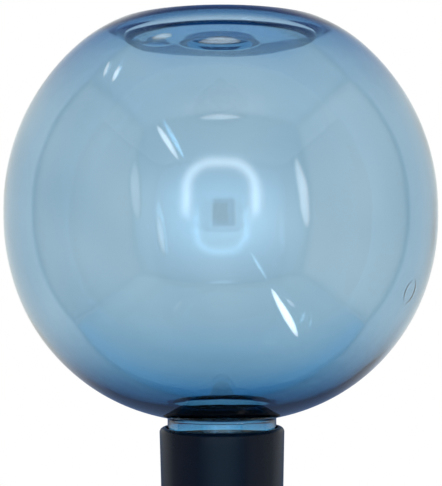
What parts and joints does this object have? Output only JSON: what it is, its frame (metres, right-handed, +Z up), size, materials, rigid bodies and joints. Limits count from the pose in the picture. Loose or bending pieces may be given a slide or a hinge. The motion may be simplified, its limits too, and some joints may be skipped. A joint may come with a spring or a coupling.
{
  "type": "watering globe",
  "caption": "Clear blue blow-moulded globe whose threaded neck screws into the black collar of a hollow slotted soil stake with a strainer and foam, for slow watering of potted plants.",
  "frame": {"origin": "on the stake's axis at the soil line, where the plain shank meets the flare under the collar", "axes": "+Z up along the stake's axis towards the globe's foot ring; +Y is away from the picture's camera"},
  "size_m": [0.108, 0.108, 0.2742],
  "materials": {
    "blue_pet": "clear tinted PET, polished",
    "black_pp": "satin moulded polypropylene",
    "white_silicone": "moulded milky silicone",
    "white_nylon": "moulded nylon",
    "nylon_mesh": "woven nylon",
    "charcoal_foam": "open-cell foam"
  },
  "bodies": {
    "stake": {"screw_collar": "black_pp", "stake_shank": "black_pp", "strainer_ring": "white_nylon", "strainer_mesh": "nylon_mesh", "filter_foam": "charcoal_foam", "stake_tip": "black_pp"},
    "seal": {"mouth_seal": "white_silicone"},
    "globe": {"globe": "blue_pet"}
  },
  "joints": [
    {"name": "globe_turn", "type": "hinge", "parent": "stake", "child": "seal", "pos_m": [0, 0, 0.025], "axis": [0, 0, 1], "range_deg": [0, 630]},
    {"name": "globe_lift", "type": "slide", "parent": "seal", "child": "globe", "axis": [0, 0, 1], "range_m": [0, 0.00556]}
  ],
  "couplings": [
    {"joint": "globe_lift", "follows": "globe_turn", "m_per_rad": 0.00050611}
  ]
}
